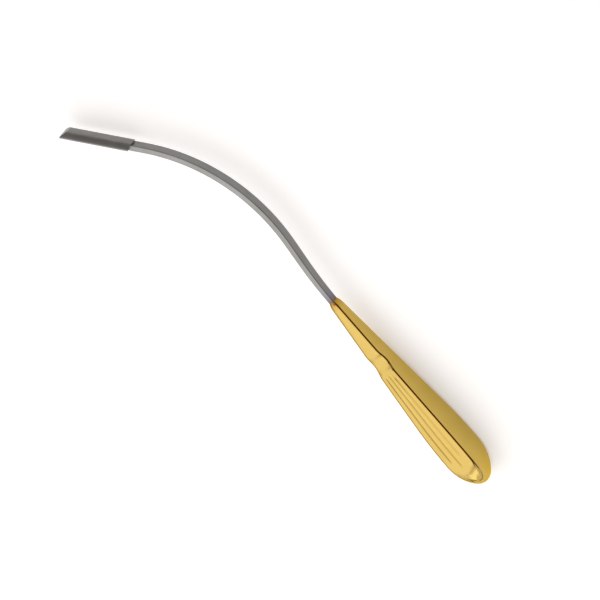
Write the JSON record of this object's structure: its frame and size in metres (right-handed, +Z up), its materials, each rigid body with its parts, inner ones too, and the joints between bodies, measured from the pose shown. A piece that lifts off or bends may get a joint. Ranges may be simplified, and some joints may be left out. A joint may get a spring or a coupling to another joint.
{
  "type": "surgical elevator",
  "caption": "Long curved steel elevator with a wider gouge-backed blade and a gold-plated, flattened teardrop handle with fluted narrow sides and a thumb dish.",
  "frame": {"origin": "middle of the base: centre of the bounding box in X and Y, at the height of the surface that the lower fluted side lies on", "axes": "+X along the handle towards the tip, +Y to the side that the shank curves to, +Z up through the fluted side with the thumb dish"},
  "size_m": [0.2556, 0.0602, 0.0202],
  "materials": {
    "gold_plate": "polished gold plating",
    "satin_steel": "satin stainless steel",
    "core_steel": "as machined"
  },
  "bodies": {
    "root": {"handle_shell_left": "gold_plate", "handle_shell_right": "gold_plate", "neck_insert": "core_steel", "tang_pin": "core_steel", "shank": "satin_steel", "blade": "satin_steel"}
  },
  "joints": []
}
